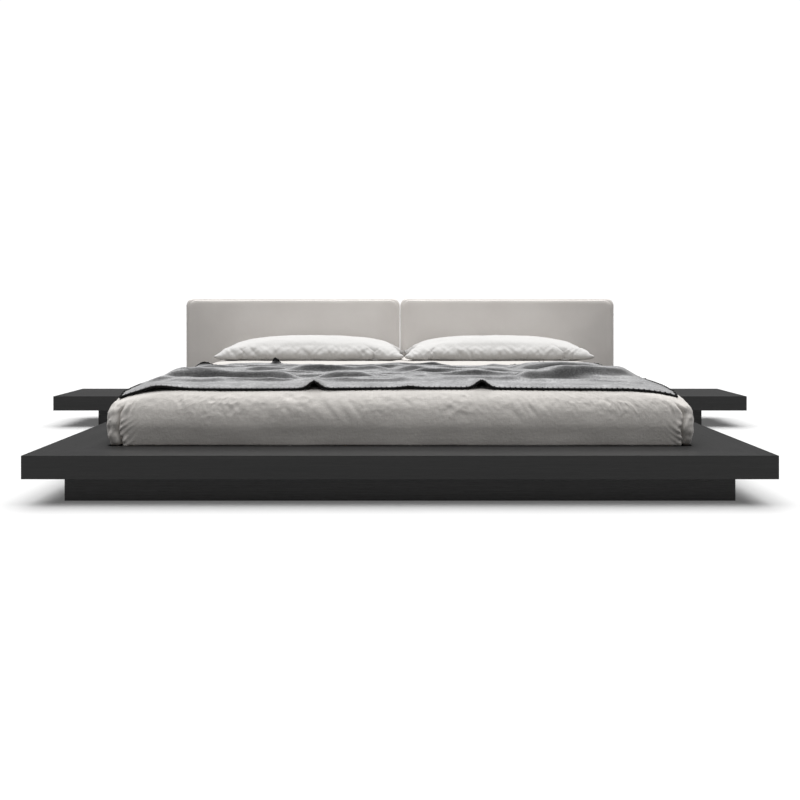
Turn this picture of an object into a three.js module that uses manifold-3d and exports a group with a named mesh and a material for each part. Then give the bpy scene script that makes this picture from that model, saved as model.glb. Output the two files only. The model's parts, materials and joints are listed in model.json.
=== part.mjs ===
// Low platform bed for a 1930 x 2030 mm mattress, with a wide ledge at the foot and both sides, a side table
// ("wing") at each side of the head, a recessed plinth and a headboard of two upholstered panels.
// Millimetres, +Z up. The foot of the bed faces -Y and the headboard stands at +Y. The origin is on the
// floor, at the centre of the whole bed.

import * as THREE from "three";
import { ConvexGeometry } from "three/addons/geometries/ConvexGeometry.js";
import { mergeVertices } from "three/addons/utils/BufferGeometryUtils.js";
import Module from "manifold-3d";

const wasm = await Module();
wasm.setup();

// ---------------------------------------------------------------- driving dimensions

const GAP = 0.3; // between two pieces that touch
const MATTRESS_WIDTH = 1930;
const MATTRESS_LENGTH = 2030;
const MATTRESS_TOP = 345;
const LEDGE = 205; // width of the ledge at the foot and at both sides
const MATTRESS_PLAY = 5; // free space between the mattress and the ledge, each side
const BED_WIDTH = MATTRESS_WIDTH + 2 * (LEDGE + MATTRESS_PLAY);
const BED_LENGTH = 2380; // foot of the ledge to the back of the headboard struts
const STRUT_THICKNESS = 6;
const PLINTH_HEIGHT = 87;
const SLAB_HEIGHT = 73;
const DECK_TOP = PLINTH_HEIGHT + SLAB_HEIGHT;
const BOARD = 22; // veneered board: ledge boards, fascias, inner boards, plinth
const BOTTOM_BOARD = 15;
const SLAT_SHELF = 35; // how far the bottom board reaches into the opening, to carry the slats
const PLINTH_SETBACK = 100;

const FRONT = -BED_LENGTH / 2; // the foot's outer face
const REAR = BED_LENGTH / 2 - STRUT_THICKNESS; // the back of the head rail and of the wings
const HALF_WIDTH = BED_WIDTH / 2;
const HEAD_RAIL_DEPTH = 124;
const HEAD_RAIL_FRONT = REAR - HEAD_RAIL_DEPTH;
const MATTRESS_FOOT = FRONT + LEDGE + MATTRESS_PLAY;

const SLAT_COUNT = 11;
const SLAT_WIDTH = 110;
const SLAT_THICKNESS = 18;
const SLAT_BOTTOM = PLINTH_HEIGHT + BOTTOM_BOARD + GAP;
const SLAT_TOP = SLAT_BOTTOM + SLAT_THICKNESS;
const SLAT_PLAY = 3; // free space at each end of a slat, and beyond the first and the last slat

const BEAM_WIDTH = 45;
const BEAM_HEIGHT = 50;
const BEAM_BOTTOM = SLAT_BOTTOM - GAP - BEAM_HEIGHT;
const LEG_SPACING = 700; // the two centre legs stand this far apart along the beam
const LEG_RADIUS = 19;
const STUD_RADIUS = 4; // the levelling glide's threaded stud
const STUD_TOP = 44;
const GLIDE_FOOT_RADIUS = 16;
const GLIDE_COLLAR_RADIUS = 8;
const GLIDE_COLLAR_TOP = 10;

const WING_LENGTH = 601.5; // how far a wing stands out from the side of the bed
const WING_DEPTH = 454;
const WING_FRONT = REAR - WING_DEPTH;
const WING_PLINTH_SIDE_SETBACK = 200;

const PANEL_DEPTH = 108; // headboard panel, front to back
const PANEL_HEIGHT = 507;
const PANEL_SPLIT = 3; // between the two panels
const PANEL_CORNER_RADIUS = 45; // seen from the front
const PANEL_EDGE_RADIUS = 30; // round the front face
const PANEL_BACK_RADIUS = 8;
const CORE_MARGIN = 45; // width of the upholstered border around the core board, seen from behind
const CORE_THICKNESS = 18;
const STRUT_WIDTH = 60;
const STRUT_BOTTOM = 92;
const STRUT_HEIGHT = 470;
const STRUT_PLACES = [300, 880]; // from the middle of the bed, on each side

const MATTRESS_CORNER_RADIUS = 110; // seen from above
const MATTRESS_EDGE_RADIUS = 80; // round the top
const MATTRESS_BOTTOM_RADIUS = 15;

const COVER_THICKNESS = 5;
const COVER_HEM = DECK_TOP + 2;
const THROW_THICKNESS = 8;
const THROW_FRONT = MATTRESS_FOOT + 45;
const THROW_LENGTH = 1140;
const THROW_HEM = 260; // height of the throw's side hems above the floor

const PILLOW_WIDTH = 940;
const PILLOW_DEPTH = 500;
const PILLOW_THICKNESS = 122;
const PILLOW_PLACES = { left: -451, right: 492 };
const PILLOW_BACK_GAP = 6; // between a pillow and the headboard
const PILLOW_CORNER_RADIUS = 60;

// ---------------------------------------------------------------- materials

function material(color, roughness, metalness = 0) {
  return new THREE.MeshStandardMaterial({ color, roughness, metalness });
}

const darkOak = material(0x3a3a3a, 0.5);
const pine = material(0xc9a876, 0.7);
const plywood = material(0xb8925e, 0.7);
const leather = material(0xcfcac4, 0.5);
const linen = material(0xd4d1cc, 0.85);
const cotton = material(0xe6e4e0, 0.9);
const ticking = material(0xe9e7e2, 0.9);
const wool = material(0x9a9a9c, 0.95);
const steel = material(0x2b2b2d, 0.45, 0.8);
const zinc = material(0xb5b7ba, 0.35, 0.9);

// ---------------------------------------------------------------- geometry helpers

const bed = new THREE.Group();
const sides = [
  ["left", -1],
  ["right", 1],
];

function addPiece(name, geometry, pieceMaterial, place = [0, 0, 0]) {
  const mesh = new THREE.Mesh(geometry, pieceMaterial);
  mesh.name = name;
  mesh.position.set(...place);
  bed.add(mesh);
}

// A rectangular piece between two values on each axis.
function addBox(name, pieceMaterial, [x0, x1], [y0, y1], [z0, z1]) {
  const geometry = new THREE.BoxGeometry(x1 - x0, y1 - y0, z1 - z0);
  addPiece(name, geometry, pieceMaterial, [(x0 + x1) / 2, (y0 + y1) / 2, (z0 + z1) / 2]);
}

function toSolid(geometry) {
  const bare = geometry.clone();
  bare.deleteAttribute("normal");
  bare.deleteAttribute("uv");
  const merged = mergeVertices(bare, 1e-3);
  return new wasm.Manifold(
    new wasm.Mesh({
      numProp: 3,
      vertProperties: merged.attributes.position.array,
      triVerts: new Uint32Array(merged.index.array),
    }),
  );
}

function toGeometry(solid) {
  const { vertProperties, triVerts } = solid.getMesh();
  const geometry = new THREE.BufferGeometry();
  geometry.setAttribute("position", new THREE.BufferAttribute(vertProperties, 3));
  geometry.setIndex(new THREE.BufferAttribute(triVerts, 1));
  return geometry;
}

const CORNER_STEPS = 5;
const EDGE_STEPS = 4;

// The points of a rectangle with round corners, anticlockwise.
function roundedLoop(halfX, halfY, radius) {
  const points = [];
  for (let quarter = 0; quarter < 4; quarter++) {
    const centreX = (quarter === 0 || quarter === 3 ? 1 : -1) * (halfX - radius);
    const centreY = (quarter < 2 ? 1 : -1) * (halfY - radius);
    for (let step = 0; step <= CORNER_STEPS; step++) {
      const angle = ((quarter + step / CORNER_STEPS) * Math.PI) / 2;
      points.push([centreX + radius * Math.cos(angle), centreY + radius * Math.sin(angle)]);
    }
  }
  return points;
}

// A closed solid through a stack of rounded rectangles, given from the bottom up.
function loft(layers) {
  const loops = layers.map(({ z, halfX, halfY, radius }) =>
    roundedLoop(halfX, halfY, radius).map(([x, y]) => [x, y, z]),
  );
  const count = loops[0].length;
  const positions = loops.flat(2);
  const triangles = [];
  for (let layer = 0; layer + 1 < loops.length; layer++) {
    for (let i = 0; i < count; i++) {
      const a = layer * count + i;
      const b = layer * count + ((i + 1) % count);
      triangles.push(a, b, b + count, a, b + count, a + count);
    }
  }
  const top = (loops.length - 1) * count;
  for (let i = 1; i + 1 < count; i++) {
    triangles.push(0, i + 1, i);
    triangles.push(top, top + i, top + i + 1);
  }
  const geometry = new THREE.BufferGeometry();
  geometry.setAttribute("position", new THREE.Float32BufferAttribute(positions, 3));
  geometry.setIndex(triangles);
  return geometry;
}

// The layers of a slab whose top and bottom edges are rounded, each by its own radius.
function roundedSlabLayers(halfX, halfY, bottom, top, { corner, topRadius, bottomRadius }) {
  const layers = [];
  const addLayer = (z, inset) =>
    layers.push({ z, halfX: halfX - inset, halfY: halfY - inset, radius: corner - inset });
  const bottomSteps = bottomRadius > 0 ? EDGE_STEPS : 0;
  for (let step = 0; step < bottomSteps; step++) {
    const angle = ((step / EDGE_STEPS) * Math.PI) / 2;
    addLayer(bottom + bottomRadius * (1 - Math.cos(angle)), bottomRadius * (1 - Math.sin(angle)));
  }
  addLayer(bottom + bottomRadius, 0);
  for (let step = 0; step <= EDGE_STEPS; step++) {
    const angle = ((step / EDGE_STEPS) * Math.PI) / 2;
    addLayer(top - topRadius * (1 - Math.sin(angle)), topRadius * (1 - Math.cos(angle)));
  }
  return layers;
}

// ---------------------------------------------------------------- ledge rails and plinth

// A profile point is (inset, z), with the inset measured inwards from the bed's outer face.
// Boards that meet at a foot corner are cut at 45 degrees there.
const MITRE_GAP = GAP / Math.SQRT2;

const sideRailEnd = (inset, end) => (end < 0 ? FRONT + inset + MITRE_GAP : HEAD_RAIL_FRONT - GAP);

// Where a point of each rail's profile lies at either end of the board: end is -1 or 1.
const railSides = {
  foot: (inset, end) => [end * (HALF_WIDTH - inset - MITRE_GAP), FRONT + inset],
  left: (inset, end) => [-HALF_WIDTH + inset, sideRailEnd(inset, end)],
  right: (inset, end) => [HALF_WIDTH - inset, sideRailEnd(inset, end)],
};

const BOARD_BOTTOM = DECK_TOP - BOARD; // underside of the ledge boards and wing tops

// The section of a fascia, whose top meets the board above it in a mitre.
const fasciaProfile = [
  [0, PLINTH_HEIGHT],
  [BOARD, PLINTH_HEIGHT],
  [BOARD, BOARD_BOTTOM - GAP * Math.SQRT2],
  [0, DECK_TOP - GAP * Math.SQRT2],
];

function addRailBoard(name, side, profile) {
  const corners = [];
  for (const [inset, z] of profile) {
    for (const end of [-1, 1]) {
      const [x, y] = railSides[side](inset, end);
      corners.push(new THREE.Vector3(x, y, z));
    }
  }
  addPiece(name, new ConvexGeometry(corners), darkOak);
}

// A rectangular profile between two insets and two heights.
function rectangle(inset0, inset1, z0, z1) {
  return [
    [inset0, z0],
    [inset1, z0],
    [inset1, z1],
    [inset0, z1],
  ];
}

function addRails() {
  const bottomBoardTop = PLINTH_HEIGHT + BOTTOM_BOARD;
  const profiles = {
    ledge_board: [
      [0, DECK_TOP],
      [LEDGE, DECK_TOP],
      [LEDGE, BOARD_BOTTOM],
      [BOARD, BOARD_BOTTOM],
    ],
    fascia: fasciaProfile,
    inner_board: rectangle(LEDGE - BOARD, LEDGE, bottomBoardTop + GAP, BOARD_BOTTOM - GAP),
    bottom_board: rectangle(BOARD + GAP, LEDGE + SLAT_SHELF, PLINTH_HEIGHT, bottomBoardTop),
    plinth: rectangle(PLINTH_SETBACK, PLINTH_SETBACK + BOARD, 0, PLINTH_HEIGHT - GAP),
  };
  for (const side of Object.keys(railSides)) {
    for (const [board, profile] of Object.entries(profiles)) {
      addRailBoard(`${side}_${board}`, side, profile);
    }
  }
}

function addHeadRail() {
  const railDepth = [HEAD_RAIL_FRONT, REAR];
  addBox("head_rail", darkOak, [-HALF_WIDTH, HALF_WIDTH], railDepth, [PLINTH_HEIGHT, DECK_TOP]);
  const plinthHalf = HALF_WIDTH - PLINTH_SETBACK;
  const plinthDepth = [HEAD_RAIL_FRONT, HEAD_RAIL_FRONT + BOARD];
  addBox("head_plinth", darkOak, [-plinthHalf, plinthHalf], plinthDepth, [0, PLINTH_HEIGHT - GAP]);
}

// ---------------------------------------------------------------- slats, centre beam, legs and glides

function addSlats() {
  const first = FRONT + LEDGE + SLAT_PLAY;
  const last = HEAD_RAIL_FRONT - SLAT_PLAY - SLAT_WIDTH;
  const halfLength = HALF_WIDTH - LEDGE - SLAT_PLAY;
  for (let index = 0; index < SLAT_COUNT; index++) {
    const y = first + ((last - first) * index) / (SLAT_COUNT - 1);
    const name = `slat_${String(index + 1).padStart(2, "0")}`;
    addBox(name, pine, [-halfLength, halfLength], [y, y + SLAT_WIDTH], [SLAT_BOTTOM, SLAT_TOP]);
  }
}

const ROUND_SEGMENTS = 24;

// A solid of revolution about Z, from a closed or axis-to-axis profile of (radius, z) points.
function turned(profile) {
  const points = profile.map(([radius, z]) => new THREE.Vector2(radius, z));
  return new THREE.LatheGeometry(points, ROUND_SEGMENTS).rotateX(Math.PI / 2);
}

// The beam runs from the foot's plinth board to the head rail. Its foot end is rebated, to pass under the
// foot's bottom board.
function addCentreBeam() {
  const start = FRONT + PLINTH_SETBACK + BOARD + GAP;
  const shoulder = FRONT + LEDGE + SLAT_SHELF + GAP;
  const end = HEAD_RAIL_FRONT - GAP;
  const outline = new THREE.Shape();
  outline.moveTo(start, BEAM_BOTTOM);
  outline.lineTo(end, BEAM_BOTTOM);
  outline.lineTo(end, BEAM_BOTTOM + BEAM_HEIGHT);
  outline.lineTo(shoulder, BEAM_BOTTOM + BEAM_HEIGHT);
  outline.lineTo(shoulder, PLINTH_HEIGHT - GAP);
  outline.lineTo(start, PLINTH_HEIGHT - GAP);
  const beam = new THREE.ExtrudeGeometry(outline, { depth: BEAM_WIDTH, bevelEnabled: false });
  // The outline's plane becomes YZ, and the extrusion runs along X.
  beam.rotateX(Math.PI / 2).rotateZ(Math.PI / 2).translate(-BEAM_WIDTH / 2, 0, 0);
  addPiece("centre_beam", beam, pine);
}

function addCentreLegs() {
  const boreRadius = STUD_RADIUS + GAP;
  const legBottom = GLIDE_COLLAR_TOP + GAP;
  const legTop = BEAM_BOTTOM - GAP;
  const leg = turned([
    [boreRadius, legBottom],
    [LEG_RADIUS, legBottom],
    [LEG_RADIUS, legTop],
    [boreRadius, legTop],
    [boreRadius, legBottom],
  ]);
  const bevel = 2;
  const footTop = 5;
  const collarBottom = 7;
  const glide = turned([
    [0, 0],
    [GLIDE_FOOT_RADIUS - bevel, 0],
    [GLIDE_FOOT_RADIUS, bevel],
    [GLIDE_FOOT_RADIUS, footTop],
    [GLIDE_COLLAR_RADIUS, collarBottom],
    [GLIDE_COLLAR_RADIUS, GLIDE_COLLAR_TOP],
    [STUD_RADIUS, GLIDE_COLLAR_TOP],
    [STUD_RADIUS, STUD_TOP],
    [0, STUD_TOP],
  ]);
  for (const [where, y] of [
    ["foot", -LEG_SPACING / 2],
    ["head", LEG_SPACING / 2],
  ]) {
    addPiece(`centre_leg_${where}`, leg, steel, [0, y, 0]);
    addPiece(`leveling_glide_${where}`, glide, zinc, [0, y, 0]);
  }
}

// ---------------------------------------------------------------- wings

// The three outer faces of a wing. side is -1 for the left wing and 1 for the right; end 0 is the end
// nearer the foot or the bed, and end 1 the other one.
function wingFaces(side) {
  const inner = HALF_WIDTH + GAP;
  const outer = HALF_WIDTH + WING_LENGTH;
  return {
    front: (inset, end) => [side * (end ? outer - inset - MITRE_GAP : inner), WING_FRONT + inset],
    side: (inset, end) => [
      side * (outer - inset),
      end ? REAR - inset - MITRE_GAP : WING_FRONT + inset + MITRE_GAP,
    ],
    back: (inset, end) => [side * (end ? outer - inset - MITRE_GAP : inner), REAR - inset],
  };
}

function addWingTopAndFascias(word, side) {
  const faces = wingFaces(side);
  const ends = (place, inset, z) =>
    [0, 1].map((end) => new THREE.Vector3(...place(inset, end), z));
  const topCorners = [
    ...ends(faces.front, 0, DECK_TOP),
    ...ends(faces.back, 0, DECK_TOP),
    ...ends(faces.front, BOARD, BOARD_BOTTOM),
    ...ends(faces.back, BOARD, BOARD_BOTTOM),
  ];
  addPiece(`wing_top_${word}`, new ConvexGeometry(topCorners), darkOak);
  for (const [face, place] of Object.entries(faces)) {
    const corners = fasciaProfile.flatMap(([inset, z]) => ends(place, inset, z));
    addPiece(`wing_${face}_fascia_${word}`, new ConvexGeometry(corners), darkOak);
  }
}

function addWingPlinth(word, side) {
  const across = (x0, x1) => (side < 0 ? [-x1, -x0] : [x0, x1]);
  const outer = HALF_WIDTH + WING_LENGTH - WING_PLINTH_SIDE_SETBACK;
  const front = WING_FRONT + PLINTH_SETBACK;
  const back = REAR - PLINTH_SETBACK;
  const width = across(HALF_WIDTH + GAP, outer);
  const height = [0, BOARD_BOTTOM - GAP];
  addBox(`wing_plinth_front_${word}`, darkOak, width, [front, front + BOARD], height);
  addBox(`wing_plinth_back_${word}`, darkOak, width, [back - BOARD, back], height);
  const sideWidth = across(outer - BOARD, outer);
  const sideDepth = [front + BOARD + GAP, back - BOARD - GAP];
  addBox(`wing_plinth_side_${word}`, darkOak, sideWidth, sideDepth, height);
}

// ---------------------------------------------------------------- headboard

function addHeadboard() {
  const panelWidth = HALF_WIDTH - PANEL_SPLIT / 2;
  const panelBottom = DECK_TOP + GAP;
  const panelCentreZ = panelBottom + PANEL_HEIGHT / 2;
  const halfX = panelWidth / 2;
  const halfZ = PANEL_HEIGHT / 2;
  const coreHalfX = halfX - CORE_MARGIN;
  const coreHalfZ = halfZ - CORE_MARGIN;

  // The pad is lofted from its back (z 0) to its front, then stood up with its front facing the foot.
  const padLayers = roundedSlabLayers(halfX, halfZ, 0, PANEL_DEPTH, {
    corner: PANEL_CORNER_RADIUS,
    topRadius: PANEL_EDGE_RADIUS,
    bottomRadius: PANEL_BACK_RADIUS,
  });
  const pocketDepth = CORE_THICKNESS + GAP;
  const pocket = new THREE.BoxGeometry(2 * (coreHalfX + GAP), 2 * (coreHalfZ + GAP), 2 * pocketDepth);
  const pad = toGeometry(toSolid(loft(padLayers)).subtract(toSolid(pocket))).rotateX(Math.PI / 2);

  for (const [word, side] of sides) {
    const x = side * (PANEL_SPLIT / 2 + halfX);
    addPiece(`headboard_pad_${word}`, pad, leather, [x, REAR, panelCentreZ]);
    addBox(
      `headboard_core_${word}`,
      plywood,
      [x - coreHalfX, x + coreHalfX],
      [REAR - CORE_THICKNESS, REAR],
      [panelCentreZ - coreHalfZ, panelCentreZ + coreHalfZ],
    );
    STRUT_PLACES.forEach((place, index) => {
      const where = index === 0 ? "inner" : "outer";
      addBox(
        `headboard_strut_${word}_${where}`,
        steel,
        [side * place - STRUT_WIDTH / 2, side * place + STRUT_WIDTH / 2],
        [REAR + GAP, REAR + STRUT_THICKNESS],
        [STRUT_BOTTOM, STRUT_BOTTOM + STRUT_HEIGHT],
      );
    });
  }
}

// ---------------------------------------------------------------- mattress and bedding

const mattressCentreY = MATTRESS_FOOT + MATTRESS_LENGTH / 2;

// A slab round the mattress, standing off its sides and its top by grow.
function mattressShape(grow, bottom, bottomRadius) {
  const halfX = MATTRESS_WIDTH / 2 + grow;
  const halfY = MATTRESS_LENGTH / 2 + grow;
  const corner = MATTRESS_CORNER_RADIUS + grow;
  const topRadius = MATTRESS_EDGE_RADIUS + grow;
  const edges = { corner, topRadius, bottomRadius };
  return loft(roundedSlabLayers(halfX, halfY, bottom, MATTRESS_TOP + grow, edges));
}

function addMattress() {
  const mattress = mattressShape(0, SLAT_TOP + GAP, MATTRESS_BOTTOM_RADIUS);
  addPiece("mattress", mattress, ticking, [0, mattressCentreY, 0]);
}

function addBedCover() {
  const inside = toSolid(mattressShape(GAP, DECK_TOP, 0));
  const outside = toSolid(mattressShape(GAP + COVER_THICKNESS, COVER_HEM, 0));
  addPiece("bed_cover", toGeometry(outside.subtract(inside)), linen, [0, mattressCentreY, 0]);
}

// The throw lies over the cover and hangs down at both sides: one strip, bent over the mattress.
function addThrow() {
  const stripShape = new THREE.Shape();
  const bend = (grow, from, to) => {
    const radius = MATTRESS_EDGE_RADIUS + grow;
    const centreX = MATTRESS_WIDTH / 2 - MATTRESS_EDGE_RADIUS;
    const centreZ = MATTRESS_TOP - MATTRESS_EDGE_RADIUS;
    const clockwise = from > to;
    const quarter = Math.PI / 2;
    const left = [-centreX, centreZ, radius, ...(clockwise ? [from, quarter] : [quarter, to]), clockwise];
    const right = [centreX, centreZ, radius, ...(clockwise ? [quarter, to] : [from, quarter]), clockwise];
    const order = clockwise ? [left, right] : [right, left];
    order.forEach((arc) => stripShape.absarc(...arc));
  };
  const inner = 2 * GAP + COVER_THICKNESS;
  const outer = inner + THROW_THICKNESS;
  const halfX = MATTRESS_WIDTH / 2;
  stripShape.moveTo(halfX + outer, THROW_HEM);
  bend(outer, 0, Math.PI);
  stripShape.lineTo(-halfX - outer, THROW_HEM);
  stripShape.lineTo(-halfX - inner, THROW_HEM);
  bend(inner, Math.PI, 0);
  stripShape.lineTo(halfX + inner, THROW_HEM);
  const options = { depth: THROW_LENGTH, bevelEnabled: false, curveSegments: 6 };
  const strip = new THREE.ExtrudeGeometry(stripShape, options);
  // The shape's plane is stood up, so that the extrusion runs along the bed, from the head end to the foot.
  addPiece("throw_blanket", strip.rotateX(Math.PI / 2), wool, [0, THROW_FRONT + THROW_LENGTH, 0]);
}

// A pillow is widest a fifth of the way up: it lies flat below that, and rises to a flat dome above it.
function pillowSpread(height) {
  const widestHeight = 0.2;
  const underside = 0.82;
  const domeAngle = 1.2;
  if (height < widestHeight) {
    return underside + (1 - underside) * Math.sin(((height / widestHeight) * Math.PI) / 2);
  }
  return Math.cos(((height - widestHeight) / (1 - widestHeight)) * domeAngle);
}

function addPillows() {
  const bottom = MATTRESS_TOP + 2 * GAP + COVER_THICKNESS;
  const layers = [];
  const layerCount = 10;
  for (let layer = 0; layer <= layerCount; layer++) {
    const height = layer / layerCount;
    const spread = pillowSpread(height);
    layers.push({
      z: bottom + PILLOW_THICKNESS * height,
      halfX: (PILLOW_WIDTH / 2) * spread,
      halfY: (PILLOW_DEPTH / 2) * spread,
      radius: PILLOW_CORNER_RADIUS * spread,
    });
  }
  const pillow = loft(layers);
  const y = REAR - PANEL_DEPTH - PILLOW_BACK_GAP - PILLOW_DEPTH / 2;
  for (const [word, x] of Object.entries(PILLOW_PLACES)) {
    addPiece(`pillow_${word}`, pillow, cotton, [x, y, 0]);
  }
}

// ---------------------------------------------------------------- the bed

addRails();
addHeadRail();
addSlats();
addCentreBeam();
addCentreLegs();
for (const [word, side] of sides) {
  addWingTopAndFascias(word, side);
  addWingPlinth(word, side);
}
addHeadboard();
addMattress();
addBedCover();
addThrow();
addPillows();

export default bed;
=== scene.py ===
"""Looks of the low platform bed: stained oak, leather headboard, linen cover, wool throw, cotton pillows."""

import json
import math

import bpy
import numpy as np
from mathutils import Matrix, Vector, noise


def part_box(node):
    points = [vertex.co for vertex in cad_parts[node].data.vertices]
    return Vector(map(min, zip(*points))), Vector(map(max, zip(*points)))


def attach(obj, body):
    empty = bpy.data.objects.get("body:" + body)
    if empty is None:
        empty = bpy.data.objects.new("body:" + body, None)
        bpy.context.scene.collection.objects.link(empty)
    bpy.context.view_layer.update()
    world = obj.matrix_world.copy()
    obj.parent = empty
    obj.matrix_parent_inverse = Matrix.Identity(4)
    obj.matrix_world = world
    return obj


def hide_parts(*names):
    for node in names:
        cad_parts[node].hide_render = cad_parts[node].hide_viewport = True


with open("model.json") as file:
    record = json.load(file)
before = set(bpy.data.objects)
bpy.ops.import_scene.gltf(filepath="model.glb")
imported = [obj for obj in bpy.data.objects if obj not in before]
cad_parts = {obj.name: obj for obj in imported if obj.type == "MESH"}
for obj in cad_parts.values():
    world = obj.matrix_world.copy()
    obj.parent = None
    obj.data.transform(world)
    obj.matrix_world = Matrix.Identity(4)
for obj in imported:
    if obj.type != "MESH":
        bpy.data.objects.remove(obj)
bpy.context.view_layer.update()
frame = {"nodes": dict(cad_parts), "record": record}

MM = 0.001
WHITE = (1, 1, 1, 1)


# ---- stage

CAMERA_PLACE = (0, -4.13, 0.626)
CAMERA_LENS = 42.69
CAMERA_SENSOR = 36
CAMERA_SHIFT = -0.11825
FLOOR_REACH = 60
FLOOR_TONES = (0.52, 0.53)
FLOOR_GLOW = 0.12
SUN_STRENGTH = 5.8
SUN_ANGLE = 90  # how wide the light is, in degrees
SUN_TILT = -3  # degrees from straight overhead, about X
WORLD_FILL = 0.05  # lights the matt surfaces
FRONT_SHINE = 1.55  # what glossy surfaces reflect from in front of the bed
REAR_SHINE = 0.08  # and from behind it
WORLD_BACKDROP = 1.05  # what the camera sees


def new_object(name, data):
    thing = bpy.data.objects.new(name, data)
    bpy.context.scene.collection.objects.link(thing)
    return thing


def mesh_object(name, points, faces):
    mesh = bpy.data.meshes.new(name)
    mesh.from_pydata([tuple(p) for p in points], [], [tuple(f) for f in faces])
    mesh.validate()
    return new_object(name, mesh)


def new_node(nodes, kind, **values):
    """A node with some of its inputs set. An underscore in an input's name stands for a space."""
    node = nodes.new(kind)
    for name, value in values.items():
        node.inputs[name.replace("_", " ")].default_value = value
    return node


def make_camera():
    data = bpy.data.cameras.new("camera")
    data.sensor_width = CAMERA_SENSOR
    data.lens = CAMERA_LENS
    data.shift_y = CAMERA_SHIFT
    camera = new_object("camera", data)
    camera.location = CAMERA_PLACE
    camera.rotation_euler = (math.pi / 2, 0, 0)
    bpy.context.scene.camera = camera


def make_floor():
    corners = [(x * FLOOR_REACH, y * FLOOR_REACH, 0) for x, y in ((-1, -1), (1, -1), (1, 1), (-1, 1))]
    floor = mesh_object("floor", corners, [(0, 1, 2, 3)])
    tree = Tree("floor_paint", roughness=0.9, specular=0.1)
    low, high = FLOOR_TONES
    tree.color(tree.ramp(tree.noise(3, 2), [(0.3, grey(low)), (0.7, grey(high))]))
    tree.shader.inputs["Emission Color"].default_value = WHITE
    tree.shader.inputs["Emission Strength"].default_value = FLOOR_GLOW
    floor.data.materials.append(tree.material)
    floor.visible_diffuse = False


def make_lights():
    sun_data = bpy.data.lights.new("overhead", "SUN")
    sun_data.energy = SUN_STRENGTH
    sun_data.angle = math.radians(SUN_ANGLE)
    new_object("overhead", sun_data).rotation_euler = (math.radians(SUN_TILT), 0, 0)

    # the world has one strength for matt surfaces, one for reflections and one for what the camera sees
    world = bpy.data.worlds.new("studio")
    world.use_nodes = True
    nodes, links = world.node_tree.nodes, world.node_tree.links
    path = nodes.new("ShaderNodeLightPath")
    shader = nodes["Background"]
    shader.inputs["Color"].default_value = WHITE
    shader.inputs["Strength"].default_value = WORLD_FILL
    direction = nodes.new("ShaderNodeSeparateXYZ")
    links.new(nodes.new("ShaderNodeTexCoord").outputs["Generated"], direction.inputs["Vector"])
    front_to_rear = {"From_Min": -0.5, "From_Max": 0.5, "To_Min": FRONT_SHINE, "To_Max": REAR_SHINE}
    shine = new_node(nodes, "ShaderNodeMapRange", **front_to_rear)
    links.new(direction.outputs["Y"], shine.inputs["Value"])
    reflected = new_node(nodes, "ShaderNodeBackground", Color=WHITE)
    links.new(shine.outputs["Result"], reflected.inputs["Strength"])
    backdrop = new_node(nodes, "ShaderNodeBackground", Color=WHITE, Strength=WORLD_BACKDROP)
    for ray, background in (("Is Glossy Ray", reflected), ("Is Camera Ray", backdrop)):
        mix = nodes.new("ShaderNodeMixShader")
        links.new(path.outputs[ray], mix.inputs["Fac"])
        links.new(shader.outputs[0], mix.inputs[1])
        links.new(background.outputs[0], mix.inputs[2])
        shader = mix
    links.new(shader.outputs[0], nodes["World Output"].inputs["Surface"])
    bpy.context.scene.world = world
    bpy.context.scene.view_settings.view_transform = "Standard"


# ---- materials

def grey(value):
    return (value, value, value)


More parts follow.
